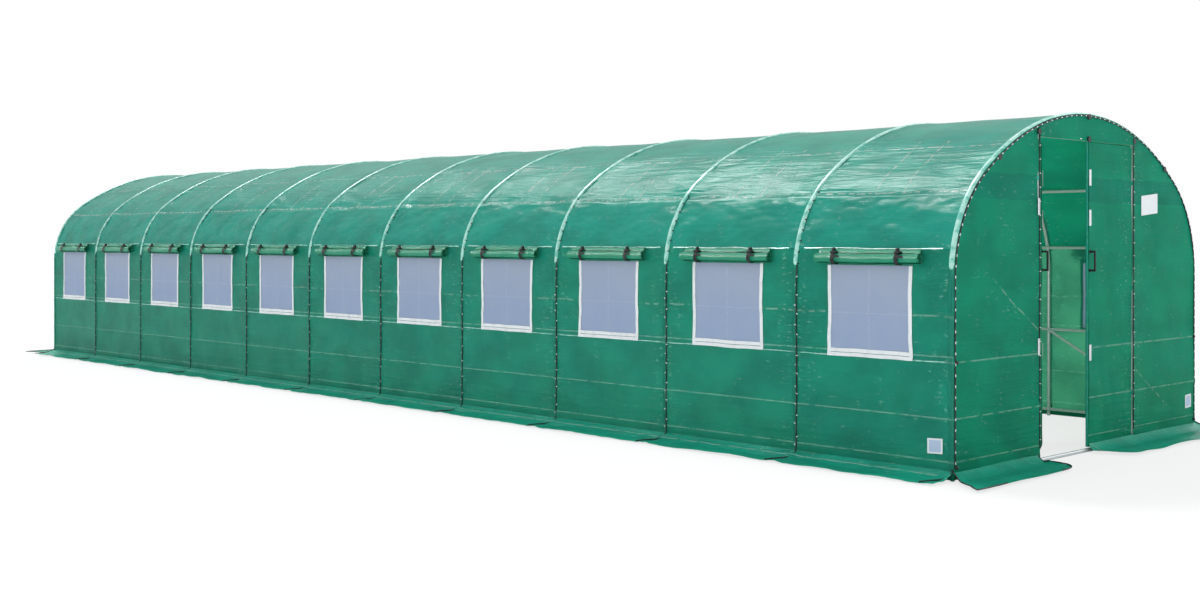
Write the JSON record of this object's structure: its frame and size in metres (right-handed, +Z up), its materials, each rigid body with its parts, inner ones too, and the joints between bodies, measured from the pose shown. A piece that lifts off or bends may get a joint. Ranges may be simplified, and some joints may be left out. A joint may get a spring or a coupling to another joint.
{
  "type": "polytunnel greenhouse",
  "caption": "Long walk-in polytunnel greenhouse: arched steel tube hoops under green film, screened side windows with rolled-up covers, ground skirts and hinged double doors.",
  "frame": {"origin": "on the ground under the middle of the tunnel", "axes": "+Z up, +Y along the tunnel from the door end to the rear, +X to the right when facing the doors"},
  "size_m": [3.4266, 12.7116, 2.1054],
  "materials": {
    "tube_steel": "galvanised tube",
    "roof_film": "woven reinforced film, sunlit",
    "wall_film": "woven reinforced film",
    "skirt_film": "woven reinforced film lying on the ground",
    "screen_mesh": "fine insect mesh",
    "white_webbing": "sewn webbing",
    "black_webbing": "woven strap",
    "black_plastic": "moulded"
  },
  "bodies": {
    "tunnel": {"hoop_01": "tube_steel", "hoop_02": "tube_steel", "hoop_03": "tube_steel", "hoop_04": "tube_steel", "hoop_05": "tube_steel", "hoop_06": "tube_steel", "hoop_07": "tube_steel", "hoop_08": "tube_steel", "hoop_09": "tube_steel", "hoop_10": "tube_steel", "hoop_11": "tube_steel", "hoop_12": "tube_steel", "ridge_purlin": "tube_steel", "roof_purlins": "tube_steel", "eave_purlins": "tube_steel", "mid_rails": "tube_steel", "base_rails": "tube_steel", "end_base_rails": "tube_steel", "door_sills": "tube_steel", "corner_braces": "tube_steel", "front_door_frame": "tube_steel", "rear_door_frame": "tube_steel", "frame_clamps": "black_plastic", "roof_cover": "roof_film", "left_wall": "wall_film", "right_wall": "wall_film", "front_left_panel": "wall_film", "front_right_panel": "wall_film", "front_gable": "wall_film", "rear_left_panel": "wall_film", "rear_right_panel": "wall_film", "rear_gable": "wall_film", "left_skirt": "skirt_film", "right_skirt": "skirt_film", "front_left_skirt": "skirt_film", "front_right_skirt": "skirt_film", "rear_skirt": "skirt_film", "window_screens": "screen_mesh", "window_borders": "white_webbing", "window_rolls": "roof_film", "roll_straps": "black_webbing", "rear_door_frames": "tube_steel", "rear_door_films": "wall_film"},
    "left_door": {"left_door_frame": "tube_steel", "left_door_film": "wall_film", "left_door_handle": "black_plastic"},
    "right_door": {"right_door_frame": "tube_steel", "right_door_film": "wall_film", "right_door_handle": "black_plastic"}
  },
  "joints": [
    {"name": "left_door_hinge", "type": "hinge", "parent": "tunnel", "child": "left_door", "pos_m": [-0.6, -6.05, 0], "axis": [0, 0, 1], "range_deg": [-28, 62]},
    {"name": "right_door_hinge", "type": "hinge", "parent": "tunnel", "child": "right_door", "pos_m": [0.6, -6.05, 0], "axis": [0, 0, -1], "range_deg": [0, 90]}
  ]
}
